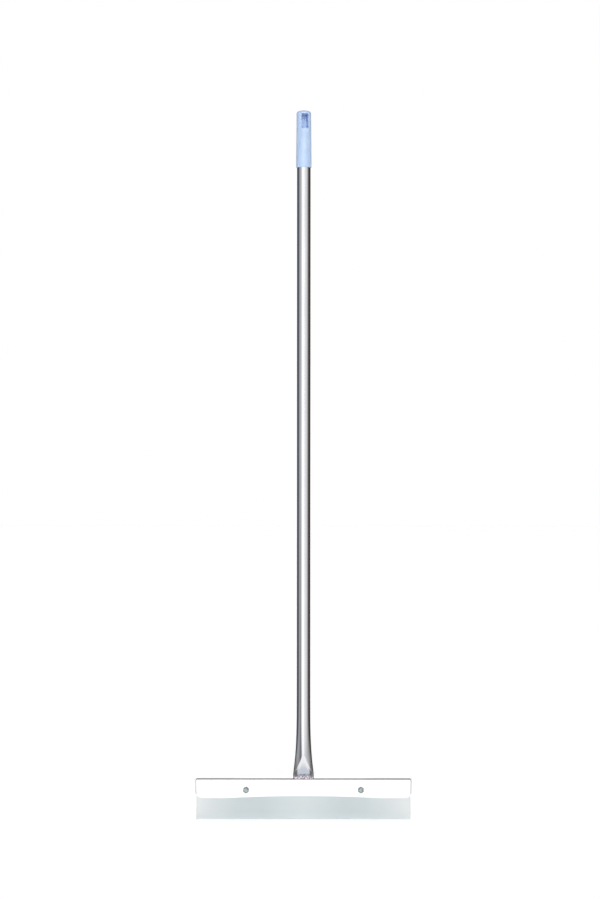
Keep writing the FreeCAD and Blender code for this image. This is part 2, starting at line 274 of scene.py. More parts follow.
def rings_at(piece, heights, along=UP):
    """Cuts rings of edges round a piece at these distances along an axis."""
    bpy.ops.object.mode_set(mode="EDIT")
    for height in heights:
        bpy.ops.mesh.select_all(action="SELECT")
        bpy.ops.mesh.bisect(plane_co=along * height, plane_no=along)
    bpy.ops.object.mode_set(mode="OBJECT")


def finish_modifier(piece, kind, **settings):
    """Adds a modifier with its settings and applies it."""
    activate(piece)
    bpy.ops.object.modifier_add(type=kind)
    modifier = piece.modifiers[-1]
    for key, value in settings.items():
        setattr(modifier, key, value)
    bpy.ops.object.modifier_apply(modifier=modifier.name)


def carve(piece, cutter, operation="DIFFERENCE"):
    """Cuts one piece with another, which is then thrown away."""
    finish_modifier(piece, "BOOLEAN", object=cutter, operation=operation, solver="EXACT")
    bpy.data.objects.remove(cutter)


def drill(piece, radius, spot, start, end, sides=48):
    """Bores a round hole along Y through a place, from one depth to another."""
    carve(piece, rod("hole", radius, (spot.x, start, spot.z), (spot.x, end, spot.z), sides))


def bevel_edges(piece, width, segments=3, angle=35):
    finish_modifier(
        piece,
        "BEVEL",
        width=width,
        segments=segments,
        limit_method="ANGLE",
        angle_limit=math.radians(angle),
        harden_normals=False,
    )


def smooth(piece, angle=35):
    activate(piece)
    bpy.ops.object.shade_smooth_by_angle(angle=math.radians(angle))


def crisp(piece, angle=35):
    """Smooth bevels between faces that stay truly flat."""
    smooth(piece, angle)
    finish_modifier(piece, "WEIGHTED_NORMAL", weight=100, keep_sharp=True)


def face_out(piece):
    activate(piece)
    bpy.ops.object.mode_set(mode="EDIT")
    bpy.ops.mesh.select_all(action="SELECT")
    bpy.ops.mesh.remove_doubles(threshold=0.001 * MM)
    bpy.ops.mesh.normals_make_consistent(inside=False)
    bpy.ops.object.mode_set(mode="OBJECT")


def mount(piece, body, slot, material, *nodes):
    """Gives a finished piece its material, its body and the nodes that it stands for."""
    piece.data.materials.clear()
    piece.data.materials.append(material)
    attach(piece, body)
    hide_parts(*nodes)


# ---- materials ----
# The two inputs of a Mix node that mixes colours.
MIX_A, MIX_B = 6, 7


def add_node(tree, kind, links=None, stops=(), **settings):
    """Adds one node. Its settings are attributes, and stops are a colour ramp's places and colours.

    Links hold its inputs: a value, another node's output, or another node, which gives its first output
    in use. Inputs that are left out keep their defaults, so a Map Range alone gives 0 to 1.
    """
    node = tree.nodes.new(kind)
    for key, value in settings.items():
        setattr(node, key, value)
    for key, value in (links or {}).items():
        if isinstance(value, bpy.types.Node):
            value = next(output for output in value.outputs if output.enabled)
        if isinstance(value, bpy.types.NodeSocket):
            tree.links.new(value, node.inputs[key])
        else:
            node.inputs[key].default_value = value
    elements = node.color_ramp.elements if stops else ()
    while len(elements) < len(stops):
        elements.new(0.5)
    for element, (place, shade) in zip(elements, stops):
        element.position = place
        element.color = rgba(shade)
    return node


def new_material(name):
    """A material with no nodes yet, and its tree."""
    made = bpy.data.materials.new(name)
    made.use_nodes = True
    made.node_tree.nodes.clear()
    return made, made.node_tree


def surfaced(made, inputs, kind="ShaderNodeBsdfPrincipled"):
    """Gives a material its one shader, with these inputs, and its output."""
    shader = add_node(made.node_tree, kind, inputs)
    add_node(made.node_tree, "ShaderNodeOutputMaterial", {"Surface": shader})
    return made


def on_object(tree, scale=(1, 1, 1), location=(0, 0, 0)):
    """The piece's own coordinates in metres, stretched to a pattern's scale."""
    place = add_node(tree, "ShaderNodeTexCoord")
    inputs = {"Vector": place.outputs["Object"], "Scale": scale, "Location": location}
    return add_node(tree, "ShaderNodeMapping", inputs)


def own_axes(tree):
    """The piece's own coordinates in metres: how far a point is to either side, and all three apart."""
    place = add_node(tree, "ShaderNodeTexCoord")
    parts = add_node(tree, "ShaderNodeSeparateXYZ", {"Vector": place.outputs["Object"]})
    return add_node(tree, "ShaderNodeMath", {0: parts.outputs["X"]}, operation="ABSOLUTE"), parts


def grey(value):
    return (value, value, value)


def polished_tube_steel(settings):
    """Welded stainless tube, polished on a belt: near mirror, with fine marks along its length."""
    made, tree = new_material("polished_tube_steel")
    lines = add_node(
        tree,
        "ShaderNodeTexNoise",
        {
            "Vector": on_object(tree, (1, 1, 0.012)),
            "Scale": 1 / (0.6 * MM),
            "Detail": 4.0,
            "Roughness": 0.6,
        },
    )
    smudges = add_node(
        tree,
        "ShaderNodeTexNoise",
        {"Vector": on_object(tree, (1, 1, 0.35)), "Scale": 1 / (30 * MM), "Detail": 3.0, "Roughness": 0.55},
    )
    mixed = add_node(tree, "ShaderNodeMath", {0: lines, 1: smudges}, operation="MULTIPLY")
    rough = add_node(
        tree,
        "ShaderNodeMapRange",
        {"Value": mixed, "From Min": 0.1, "From Max": 0.45, "To Min": 0.06, "To Max": 0.15},
    )
    bump = add_node(tree, "ShaderNodeBump", {"Height": lines, "Strength": 0.05, "Distance": 0.02 * MM})
    tint = add_node(
        tree,
        "ShaderNodeValToRGB",
        {"Fac": smudges},
        [(0.3, tuple(c * 0.94 for c in settings.steel)), (0.7, tuple(settings.steel))],
    )
    # Beside the weld the steel has kept its heat tint, straw and violet in patches.
    patches = add_node(
        tree,
        "ShaderNodeTexNoise",
        {"Vector": on_object(tree), "Scale": 1 / (3.5 * MM), "Detail": 4.0, "Roughness": 0.65},
    )
    oxide = add_node(
        tree,
        "ShaderNodeValToRGB",
        {"Fac": patches},
        [
            (0.36, linear("#6E696E")),
            (0.46, linear("#948C93")),
            (0.56, linear("#C6C3C9")),
            (0.68, linear("#A89F92")),
        ],
    )
    outward, parts = own_axes(tree)
    wavy = add_node(
        tree, "ShaderNodeMath", {0: patches, 1: 5 * MM, 2: parts.outputs["Z"]}, operation="MULTIPLY_ADD"
    )
    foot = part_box("handle_tube")[0].z
    heat = add_node(
        tree,
        "ShaderNodeMapRange",
        {
            "Value": wavy,
            "From Min": foot + 10.5 * MM,
            "From Max": foot + 13.5 * MM,
            "To Min": 0.85,
            "To Max": 0.0,
        },
    )
    heated = add_node(tree, "ShaderNodeMix", {"Factor": heat, MIX_A: tint, MIX_B: oxide}, data_type="RGBA")
    # Painted dark reflection: low down on the foot, the sides beside the facet are turned dark grey in the
    # colour.
    beside = add_node(
        tree, "ShaderNodeMapRange", {"Value": outward, "From Min": 10.5 * MM, "From Max": 13 * MM}
    )
    low_down = add_node(
        tree,
        "ShaderNodeMapRange",
        {
            "Value": parts.outputs["Z"],
            "From Min": foot + 14 * MM,
            "From Max": foot + 45 * MM,
            "To Min": 0.8,
            "To Max": 0.0,
        },
    )
    painted_dark_sides = add_node(tree, "ShaderNodeMath", {0: beside, 1: low_down}, operation="MULTIPLY")
    toned = add_node(
        tree,
        "ShaderNodeMix",
        {"Factor": painted_dark_sides, MIX_A: heated, MIX_B: rgba(linear("#6F6C6C"))},
        data_type="RGBA",
    )
    return surfaced(made, {"Metallic": 1.0, "Base Color": toned, "Roughness": rough, "Normal": bump})


def bright_sheet_steel(settings):
    """Cold rolled, bright annealed stainless sheet: pale and smooth, very slightly wavy."""
    made, tree = new_material("bright_sheet_steel")
    waves = add_node(
        tree,
        "ShaderNodeTexNoise",
        {"Vector": on_object(tree, (0.35, 1, 1)), "Scale": 1 / (45 * MM), "Detail": 2.0},
    )
    grain = add_node(
        tree,
        "ShaderNodeTexNoise",
        {"Vector": on_object(tree, (0.02, 1, 1)), "Scale": 1 / (0.5 * MM), "Detail": 3.0, "Roughness": 0.6},
    )
    rough = add_node(
        tree,
        "ShaderNodeMapRange",
        {"Value": grain, "From Min": 0.3, "From Max": 0.7, "To Min": 0.16, "To Max": 0.26},
    )
    roll = add_node(tree, "ShaderNodeBump", {"Height": waves, "Strength": 0.25, "Distance": 0.4 * MM})
    fine = add_node(
        tree, "ShaderNodeBump", {"Height": grain, "Strength": 0.05, "Distance": 0.02 * MM, "Normal": roll}
    )
    pale = tuple(settings.sheet_steel)
    tint = add_node(
        tree, "ShaderNodeValToRGB", {"Fac": waves}, [(0.35, tuple(c * 0.96 for c in pale)), (0.65, pale)]
    )
    # Painted shade: the last 1.2 mm at both ends are dark grey, which draws the ends' edges as a line.
    outward, _ = own_axes(tree)
    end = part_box("blade_channel")[1].x
    painted_end_shade = add_node(
        tree,
        "ShaderNodeMapRange",
        {"Value": outward, "From Min": end - 1.4 * MM, "From Max": end - 1.2 * MM},
    )
    with_painted_end_shade = add_node(
        tree,
        "ShaderNodeMix",
        {"Factor": painted_end_shade, MIX_A: tint, MIX_B: rgba(linear("#545458"))},
        data_type="RGBA",
    )
    return surfaced(made, {"Metallic": 1.0, "Base Color": with_painted_end_shade, "Roughness": rough, "Normal": fine})


def tinted_weld_metal(settings):
    """Weld metal left as it froze: rippled, satin, with violet and straw oxide in patches."""
    made, tree = new_material("tinted_weld_metal")
    patches = add_node(
        tree,
        "ShaderNodeTexNoise",
        {"Vector": on_object(tree), "Scale": 1 / (3.2 * MM), "Detail": 4.0, "Roughness": 0.65},
    )
    grain = add_node(
        tree, "ShaderNodeTexNoise", {"Vector": on_object(tree), "Scale": 1 / (0.7 * MM), "Detail": 3.0}
    )
    tint = add_node(
        tree,
        "ShaderNodeValToRGB",
        {"Fac": patches},
        [
            (0.30, linear("#5E5C60")),
            (0.44, tuple(settings.weld_tint)),
            (0.52, tuple(settings.weld_grey)),
            (0.60, linear("#EDEBEE")),
            (0.70, linear("#CDC0AE")),
        ],
    )
    rough = add_node(
        tree,
        "ShaderNodeMapRange",
        {"Value": grain, "From Min": 0.3, "From Max": 0.7, "To Min": 0.25, "To Max": 0.5},
    )
    bump = add_node(tree, "ShaderNodeBump", {"Height": grain, "Strength": 0.5, "Distance": 0.15 * MM})
    return surfaced(made, {"Metallic": 1.0, "Base Color": tint, "Roughness": rough, "Normal": bump})


def passivated_zinc(settings):
    """Zinc plated steel with a clear greenish passivation: satin, with duller patches."""
    made, tree = new_material("passivated_zinc")
    patches = add_node(
        tree,
        "ShaderNodeTexNoise",
        {"Vector": on_object(tree), "Scale": 1 / (2.4 * MM), "Detail": 5.0, "Roughness": 0.6},
    )
    # Painted shade and highlight: by this distance from the bolt's axis, the rims of the heads and nuts are
    # darker and their middles lighter.
    outward, parts = own_axes(tree)
    spot = middle("clamp_bolt_right")
    across = add_node(tree, "ShaderNodeCombineXYZ", {"X": outward, "Z": parts.outputs["Z"]})
    from_axis = add_node(
        tree, "ShaderNodeVectorMath", {0: across, 1: (spot.x, 0, spot.z)}, operation="DISTANCE"
    )
    rim = add_node(
        tree,
        "ShaderNodeMapRange",
        {"Value": from_axis, "From Min": 2.8 * MM, "From Max": 5.2 * MM, "To Min": 0.12, "To Max": -0.22},
    )
    with_painted_rim_shade = add_node(tree, "ShaderNodeMath", {0: patches, 1: rim}, operation="ADD")
    tint = add_node(
        tree,
        "ShaderNodeValToRGB",
        {"Fac": with_painted_rim_shade},
        [(0.35, tuple(settings.zinc_dark)), (0.62, tuple(settings.zinc))],
    )
    rough = add_node(
        tree,
        "ShaderNodeMapRange",
        {"Value": patches, "From Min": 0.3, "From Max": 0.7, "To Min": 0.42, "To Max": 0.24},
    )
    bump = add_node(tree, "ShaderNodeBump", {"Height": patches, "Strength": 0.2, "Distance": 0.05 * MM})
    return surfaced(made, {"Metallic": 1.0, "Base Color": tint, "Roughness": rough, "Normal": bump})


def milky_silicone(settings):
    """Extruded silicone strip: cloudy and slightly translucent, satin, with faint lines from the die."""
    made, tree = new_material("milky_silicone")
    clouds = add_node(
        tree,
        "ShaderNodeTexNoise",
        {
            "Vector": on_object(tree, (1, 1, 0.5), (0.07, 0, 0)),
            "Scale": 1 / (130 * MM),
            "Detail": 2.0,
            "Roughness": 0.5,
        },
    )
    die_lines = add_node(
        tree,
        "ShaderNodeTexNoise",
        {"Vector": on_object(tree, (0.01, 1, 1)), "Scale": 1 / (0.8 * MM), "Detail": 3.0},
    )
    outward, parts = own_axes(tree)
    # The strip is paler towards its ends and a little paler in the middle.
    drift = add_node(tree, "ShaderNodeMath", {0: clouds, 1: 60 * MM, 2: outward}, operation="MULTIPLY_ADD")
    along = add_node(
        tree, "ShaderNodeMapRange", {"Value": drift, "From Min": 30 * MM, "From Max": 230 * MM}
    )
    clear, pale = Vector(settings.silicone), Vector(settings.silicone_pale)
    tint = add_node(
        tree,
        "ShaderNodeValToRGB",
        {"Fac": along},
        [
            (0.0, clear.lerp(pale, 0.35)),
            (0.2, clear.lerp(pale, 0.2)),
            (0.38, clear),
            (0.62, clear.lerp(pale, 0.1)),
            (0.8, clear.lerp(pale, 0.45)),
            (1.0, pale),
        ],
    )
    # Painted shade: the lowest 14 mm turn towards one flat colour, which offsets the light that the floor
    # throws up on the blade.
    painted_shade_low = add_node(
        tree,
        "ShaderNodeMapRange",
        {"Value": parts.outputs["Z"], "From Max": 14 * MM, "To Min": 0.75, "To Max": 0.0},
    )
    with_painted_shade = add_node(
        tree,
        "ShaderNodeMix",
        {"Factor": painted_shade_low, MIX_A: tint, MIX_B: rgba(settings.painted_edge_shade)},
        data_type="RGBA",
    )
    rough = add_node(
        tree,
        "ShaderNodeMapRange",
        {"Value": die_lines, "From Min": 0.3, "From Max": 0.7, "To Min": 0.38, "To Max": 0.5},
    )
    bump = add_node(tree, "ShaderNodeBump", {"Height": die_lines, "Strength": 0.12, "Distance": 0.03 * MM})
    return surfaced(
        made,
        {
            "IOR": 1.41,
            "Subsurface Weight": 0.35,
            "Subsurface Radius": (1.0, 1.0, 1.0),
            "Subsurface Scale": 4 * MM,
            "Base Color": with_painted_shade,
            "Roughness": rough,
            "Normal": bump,
        },
    )


def moulded_polyethylene(settings):
    """Pale blue injection moulded polyethylene: waxy satin, lets in a little light, duller where rubbed."""
    made, tree = new_material("moulded_polyethylene")
    rubbed = add_node(
        tree,
        "ShaderNodeTexNoise",
        {"Vector": on_object(tree, (1, 1, 0.6)), "Scale": 1 / (14 * MM), "Detail": 4.0, "Roughness": 0.6},
    )
    skin = add_node(
        tree, "ShaderNodeTexNoise", {"Vector": on_object(tree), "Scale": 1 / (0.45 * MM), "Detail": 2.0}
    )
    tint = add_node(
        tree,
        "ShaderNodeValToRGB",
        {"Fac": rubbed},
        [(0.3, tuple(settings.plastic_worn)), (0.6, tuple(settings.plastic))],
    )
    rough = add_node(
        tree,
        "ShaderNodeMapRange",
        {"Value": rubbed, "From Min": 0.3, "From Max": 0.7, "To Min": 0.48, "To Max": 0.34},
    )
    bump = add_node(tree, "ShaderNodeBump", {"Height": skin, "Strength": 0.12, "Distance": 0.03 * MM})
    return surfaced(
        made,
        {
            "IOR": 1.51,
            "Subsurface Weight": 0.35,
            "Subsurface Radius": (0.75, 0.9, 1.0),
            "Subsurface Scale": 3 * MM,
            "Base Color": tint,
            "Roughness": rough,
            "Normal": bump,
        },
    )


# ---- handle tube ----
# Shares of roundness: the turns of the creases settle over the first, and the facet is gone at the second.
TURN_EASE, FACET_FADE = 0.05, 0.62


def quarter_outline(settings, share, radius, half_foot):
    """A quarter of the tube's outline as arcs that meet with one tangent.

    It has a share of roundness, from 0 at the foot to 1 where the tube is round. The arcs are half of the
    facet that the press leaves in front, its crease, the slope beside it, and the edge. Each one's end turn
    from the front, radius and centre (x, depth) come back.
    """
    settled = math.exp(-share / TURN_EASE)
    turns = [math.radians(turn) for turn in (3, 25 - 20 * settled, 42 - 30 * settled, 90)]
    sines = [math.sin(turn) for turn in turns]
    closing = max(0.0, 1 - share / FACET_FADE) ** 1.5
    facet = radius + (settings.facet / sines[0] - radius) * closing
    crease = settings.crease + (radius - settings.crease) * share
    edge = settings.edge + (radius - settings.edge) * share**1.5
    half_x = half_foot + (radius - half_foot) * share
    # The slope spans whatever width the others leave.
    rest = half_x - facet * sines[0] - crease * (sines[1] - sines[0]) - edge * (1 - sines[2])
    radii = [facet, crease, rest / (sines[2] - sines[1]), edge]
    centres = [(half_x - edge, 0.0)]
    for inner, outer, turn in zip(radii[2::-1], radii[:0:-1], turns[2::-1]):
        x, depth = centres[0]
        centres.insert(0, (x + (outer - inner) * math.sin(turn), depth + (outer - inner) * math.cos(turn)))
    return turns, radii, centres


def walk_round(outline, x, y):
    """The place on a pressed outline of a point of the round tube: the same share of the way round."""
    turns, radii, centres = outline
    starts = [0.0] + turns[:-1]
    lengths = [radius * (end - start) for radius, start, end in zip(radii, starts, turns)]
    left = math.atan2(abs(x), abs(y)) / (math.pi / 2) * sum(lengths)
    for k, length in enumerate(lengths):
        if left <= length or k == 3:
            turn = starts[k] + left / radii[k]
            across = centres[k][0] + radii[k] * math.sin(turn)
            depth = centres[k][1] + radii[k] * math.cos(turn)
            return math.copysign(across, x), math.copysign(max(0.0, depth), y)
        left -= length


class SQUEEGEE_OT_tube(bpy.types.Operator):
    """Model the handle tube, round above and pressed flat at its foot"""

    bl_idname = "squeegee.tube"
    bl_label = "Handle tube"

    def execute(self, context):
        settings = context.scene.squeegee_tube
        low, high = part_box("handle_tube")
        radius = (high.y - low.y) / 2
        half_foot = (high.x - low.x) / 2
        piece = rod("polished_tube", radius, (0, 0, low.z), (0, 0, high.z), 192, "NOTHING")
        flare_base = low.z + settings.flat
        steps = 56
        fade = settings.flare * 5.6  # above this the tube is as good as round
        rings = [low.z + settings.flat * 0.5, flare_base]
        rings += [flare_base + fade * (i / steps) ** 1.7 for i in range(1, steps + 1)]
        rings_at(piece, rings)
        outlines = {}
        for vertex in piece.data.vertices:
            x, y, z = vertex.co
            key = round(z / MM, 3)
            if key not in outlines:
                height = max(0.0, z - flare_base) / settings.flare
                outlines[key] = quarter_outline(settings, 1 - math.exp(-(height**1.3)), radius, half_foot)
            vertex.co.x, vertex.co.y = walk_round(outlines[key], x, y)
        finish_modifier(piece, "SOLIDIFY", thickness=settings.wall, offset=-1, use_even_offset=True)
        smooth(piece, 50)
        mount(piece, "squeegee", "polished_stainless_tube", polished_tube_steel(settings), "handle_tube")
        return {"FINISHED"}


def foot_half_depth():
    """How far the pressed foot's face stands from the middle: the weld beads start at half of that."""
    return -2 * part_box("weld_bead_front")[1].y


# ---- channel ----
def channel_outline(settings, low, high):
    """A prism with the front view of the channel: rounded corners and an arched lower edge."""
    points = []

    def corner(x, z, radius, start):
        for i in range(9):
            a = math.radians(start + 90 * i / 8)
            points.append((x + radius * math.cos(a), z + radius * math.sin(a)))

    r, u = settings.corner, settings.upper_corner
    corner(high.x - u, high.z - u, u, 0)
    corner(low.x + u, high.z - u, u, 90)
    corner(low.x + r, low.z + r, r, 180)
    half = settings.arch_length / 2
    bow = (half**2 + settings.arch**2) / (2 * settings.arch)
    steps = 48
    for i in range(steps + 1):
        x = -half + 2 * half * i / steps
        points.append((x, low.z + settings.arch - bow + math.sqrt(bow**2 - x**2)))
    corner(high.x - r, low.z + r, r, 270)
    mesh = bpy.data.meshes.new("outline")
    mesh.from_pydata([(x, low.y - MM, z) for x, z in points], [], [range(len(points))])
    cutter = bpy.data.objects.new("outline", mesh)
    bpy.context.collection.objects.link(cutter)
    activate(cutter)
    bpy.ops.object.mode_set(mode="EDIT")
    bpy.ops.mesh.select_all(action="SELECT")
    bpy.ops.mesh.extrude_region_move(
        TRANSFORM_OT_translate={"value": (0, high.y - low.y + 2 * MM, 0), "orient_type": "GLOBAL"}
    )
    bpy.ops.object.mode_set(mode="OBJECT")
    face_out(cutter)
    return cutter


class SQUEEGEE_OT_channel(bpy.types.Operator):
    """Model the channel folded from one sheet"""

    bl_idname = "squeegee.channel"
    bl_label = "Blade channel"

    def folded_bar(self, name, low, high, radius):
        bar = block(name, low, high)
        if radius > 0:
            bpy.ops.object.mode_set(mode="EDIT")
            top = high[2]
            pick(bar, lambda p, e: abs(p.z - top) < NEAR and abs(p.x) < NEAR, "edges")
            bpy.ops.mesh.bevel(offset=radius, segments=8, affect="EDGES")
            bpy.ops.object.mode_set(mode="OBJECT")
        return bar

    def execute(self, context):
        settings = context.scene.squeegee_head
        low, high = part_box("blade_channel")
        t = settings.sheet
        below = low.z - 2 * MM
        piece = self.folded_bar(
            "folded_channel", (low.x, low.y, below), (high.x, high.y, high.z), settings.fold
        )
        inside = self.folded_bar(
            "inside",
            (low.x - MM, low.y + t, below - MM),
            (high.x + MM, high.y - t, high.z - t),
            settings.fold - t,
        )
        carve(piece, inside)
        carve(piece, channel_outline(settings, low, high), "INTERSECT")
        for side in SIDES:
            spot = middle(f"clamp_bolt_{side}")
            drill(piece, CHANNEL_HOLE, spot, low.y - MM, high.y + MM)
        # The sheet's cut edges are rounded over nearly half its thickness.
        bevel_edges(piece, 0.58 * MM, 4, 50)
        crisp(piece, 35)
        mount(piece, "squeegee", "mirror_stainless_sheet", bright_sheet_steel(settings), "blade_channel")
        return {"FINISHED"}


# ---- weld beads ----
class SQUEEGEE_OT_welds(bpy.types.Operator):
    """Model the rippled weld beads on both faces of the foot"""

    bl_idname = "squeegee.welds"
    bl_label = "Weld beads"

    def execute(self, context):
        settings = context.scene.squeegee_head
        material = tinted_weld_metal(settings)
        for node, front in (("weld_bead_front", -1), ("weld_bead_rear", 1)):
            low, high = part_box(node)
            root_y = front * foot_half_depth()
            depth = max(abs(low.y), abs(high.y)) - abs(root_y)
            height = high.z - low.z
            half = (high.x - low.x) / 2
            piece = rod(node.replace("weld_bead", "rippled_bead"), 1.0, (-half, 0, 0), (half, 0, 0), 48)
            half_rings = 60
            rings = [half * (i / half_rings - 1) for i in range(1, 2 * half_rings)]
            rings_at(piece, rings, Vector((1, 0, 0)))
            pitch = 2.3 * MM
            rounding = 3.5 * MM  # length over which each end rounds off
            lump = 2.2 * MM  # size of the uneven patches
            bow = 0.9 * MM
            for vertex in piece.data.vertices:
                x, y, z = vertex.co
                edge = min(1.0, (half - abs(x)) / rounding)
                taper = math.sqrt(max(0.0, 1 - (1 - edge) ** 2))
                # Each ripple is a crescent, steep on one side.
                lean = x + bow * z * z
                phase = (lean / pitch) % 1.0
                ripple = 0.84 + 0.16 * (phase**0.6) * (1 - phase**6)
                rough = noise.noise(Vector((x / lump, y * 1.6 + 7 * front, z * 1.6)))
                size = taper * (ripple + 0.13 * rough)
                vertex.co = (x, root_y + y * depth * min(1.0, size), low.z + z * height * min(1.0, size))
            activate(piece)
            bpy.ops.object.mode_set(mode="EDIT")
            for place, normal in (((0, 0, low.z), (0, 0, -1)), ((0, root_y, 0), (0, -front, 0))):
                bpy.ops.mesh.select_all(action="SELECT")
                bpy.ops.mesh.bisect(plane_co=place, plane_no=normal, clear_outer=True, use_fill=True)
            bpy.ops.object.mode_set(mode="OBJECT")
            face_out(piece)
            smooth(piece, 50)
            mount(piece, "squeegee", "weld_metal", material, node)
        return {"FINISHED"}


# ---- blade ----
class SQUEEGEE_OT_blade(bpy.types.Operator):
    """Model the silicone blade in one piece, with close rings of edges just under the channel"""

    bl_idname = "squeegee.blade"
    bl_label = "Silicone blade"

    def execute(self, context):
        settings = context.scene.squeegee_blade
        lip_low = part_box("blade_lip")[0]
        strip_low, strip_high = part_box("blade_strip")
        piece = block("silicone_blade", lip_low, strip_high)
        hinge = Vector(frame["joints"][0]["pos_m"])
        bevel_edges(piece, settings.edge_round, 3)
        bend_top = hinge.z + 0.8 * MM
        bend_low = hinge.z - 15 * MM
        steps, half_columns = 24, 10
        rings_at(piece, [bend_low + (bend_top - bend_low) * i / steps for i in range(steps + 1)])
        columns = [strip_low.x * (1 - i / half_columns) for i in range(1, 2 * half_columns)]
        rings_at(piece, columns, Vector((1, 0, 0)))
        for side in SIDES:
            spot = middle(f"clamp_bolt_{side}")
            drill(piece, BLADE_HOLE, spot, -10 * MM, 10 * MM)
        smooth(piece, 35)
        piece.data.materials.clear()
        piece.data.materials.append(milky_silicone(settings))
        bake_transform(piece)
        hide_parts("blade_strip", "blade_lip")
        return {"FINISHED"}


# ---- fasteners ----
def hex_bar(name, spot, low_y, high_y, turn):
    """A hexagonal bar along Y."""
    corner = HEX_FLATS / 2 / math.cos(math.radians(30))
    bar = rod(name, corner, (0, 0, low_y), (0, 0, high_y), 6)
    # The cylinder's first corner is along +Y of its own axes, 90 degrees from X.
    bar.matrix_world = (
        Matrix.Translation((spot.x, 0, spot.z))
        @ Matrix.Rotation(math.radians(-turn - 90), 4, "Y")
        @ Matrix.Rotation(math.radians(-90), 4, "X")
    )
    settle(bar)
    return bar


def trim_corners(bar, spot, face_y, inward, height):
    """Chamfers a hexagon's corners at one face with a cone."""
    flat = HEX_FLATS / 2 * CHAMFER_START
    reach = height / math.tan(math.radians(CHAMFER))
    deselect()
    bpy.ops.mesh.primitive_cone_add(vertices=96, radius1=flat + reach, radius2=flat, depth=height)
    cone = added("trim")
    place = Matrix.Translation((spot.x, face_y + inward * height / 2, spot.z))
    cone.matrix_world = place @ Matrix.Rotation(math.radians(90 * inward), 4, "X")
    settle(cone)
    carve(bar, cone, "INTERSECT")


class SQUEEGEE_OT_bolts(bpy.types.Operator):
    """Model the hexagon bolts with a cross recess and a rolled thread"""

    bl_idname = "squeegee.bolts"
    bl_label = "Clamp bolts"

    def execute(self, context):
        settings = context.scene.squeegee_bolts
        material = passivated_zinc(settings)
        for side, turn in SIDES.items():
            node = f"clamp_bolt_{side}"
            low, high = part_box(node)
            spot = middle(node)
            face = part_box("blade_channel")[0].y
            piece = hex_bar(f"hexagon_bolt_{side}", spot, low.y, face, turn)
            trim_corners(piece, spot, low.y, 1, face - low.y)
            half_slot = Vector((CROSS_REACH, CROSS_DEPTH, CROSS_HALF_WIDTH))
            for angle in (0, 90):
                slot = block("slot", -half_slot, half_slot)
                place = Matrix.Translation((spot.x, low.y, spot.z))
                slot.matrix_world = place @ Matrix.Rotation(math.radians(angle - turn), 4, "Y")
                settle(slot)
                carve(piece, slot)
            bevel_edges(piece, HEX_ROUNDING, 2, 25)
            self.add_thread(piece, spot, face, high.y, settings.thread_pitch)
            crisp(piece, 30)
            mount(piece, "squeegee", "zinc_plated_steel", material, node)
        return {"FINISHED"}

    def add_thread(self, piece, spot, start, end, pitch):
        """Joins a threaded shank to the head: rings that lean with the turn round the axis."""
        shank = rod("shank", SHANK_RADIUS, (0, 0, start), (0, 0, end), 48)
        rings_at(shank, [start + pitch / 8 * i for i in range(1, int((end - start) / pitch * 8))])
        plain = 0.5 * MM  # under the head
        tip = 0.6 * MM  # over which the end narrows
        root = 0.17  # of the radius
        for vertex in shank.data.vertices:
            x, y, z = vertex.co
            if z <= start + plain:
                continue
            turn = math.atan2(y, x) / (2 * math.pi)
            groove = abs((z / pitch - turn) % 1.0 - 0.5) * 2
            run_out = min(1.0, (end - z) / tip)
            radius = (1 - root * (1 - groove)) * (0.82 + 0.18 * run_out)
            vertex.co.x, vertex.co.y = x * radius, y * radius
        place = Matrix.Translation((spot.x, 0, spot.z))
        shank.matrix_world = place @ Matrix.Rotation(math.radians(-90), 4, "X")
        settle(shank)
        activate(piece)
        shank.select_set(True)
        bpy.ops.object.join()


class SQUEEGEE_OT_nuts(bpy.types.Operator):
    """Model the hexagon nuts behind the channel"""

    bl_idname = "squeegee.nuts"
    bl_label = "Clamp nuts"

    def execute(self, context):
        settings = context.scene.squeegee_bolts
        material = passivated_zinc(settings)
        for side, turn in SIDES.items():
            node = f"clamp_nut_{side}"
            low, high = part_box(node)
            spot = middle(node)
            piece = hex_bar(f"hexagon_nut_{side}", spot, low.y, high.y, turn)
            trim_corners(piece, spot, low.y, 1, high.y - low.y)
            trim_corners(piece, spot, high.y, -1, high.y - low.y)
            drill(piece, NUT_BORE, spot, low.y - MM, high.y + MM)
            bevel_edges(piece, HEX_ROUNDING, 2, 25)
            crisp(piece, 30)
            mount(piece, "squeegee", "zinc_plated_steel", material, node)
        return {"FINISHED"}


class SQUEEGEE_OT_washers(bpy.types.Operator):
    """Model the flat washers and the split spring washers"""

    bl_idname = "squeegee.washers"
    bl_label = "Washers"

    def execute(self, context):
        settings = context.scene.squeegee_bolts
        material = passivated_zinc(settings)
        for kind in ("flat_washer", "spring_washer"):
            for side in SIDES:
                node = f"{kind}_{side}"
                low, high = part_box(node)
                spot = middle(f"clamp_bolt_{side}")
                radius = (high.x - low.x) / 2
                ends = [(spot.x, y, spot.z) for y in (low.y, high.y)]
                piece = rod(f"{kind}_ring_{side}", radius, *ends, 96)
                drill(piece, WASHER_BORE, spot, low.y - MM, high.y + MM, 64)
                if kind == "spring_washer":
                    # Split at the top by a slanting cut 1 mm wide.
                    slit = block("slit", (-0.5 * MM, -3 * MM, 0), (0.5 * MM, 3 * MM, 9 * MM))
                    place = Matrix.Translation((spot.x, (low.y + high.y) / 2, spot.z))
                    slit.matrix_world = place @ Matrix.Rotation(math.radians(20), 4, "Z")
                    settle(slit)
                    carve(piece, slit)
                bevel_edges(piece, 0.2 * MM, 2)
                crisp(piece, 35)
                mount(piece, "squeegee", "zinc_plated_steel", material, node)
        return {"FINISHED"}


# ---- grip ----
GRIP_SIDES = 96
POCKET_SIDES = 15  # how many of them the hanging pocket takes up


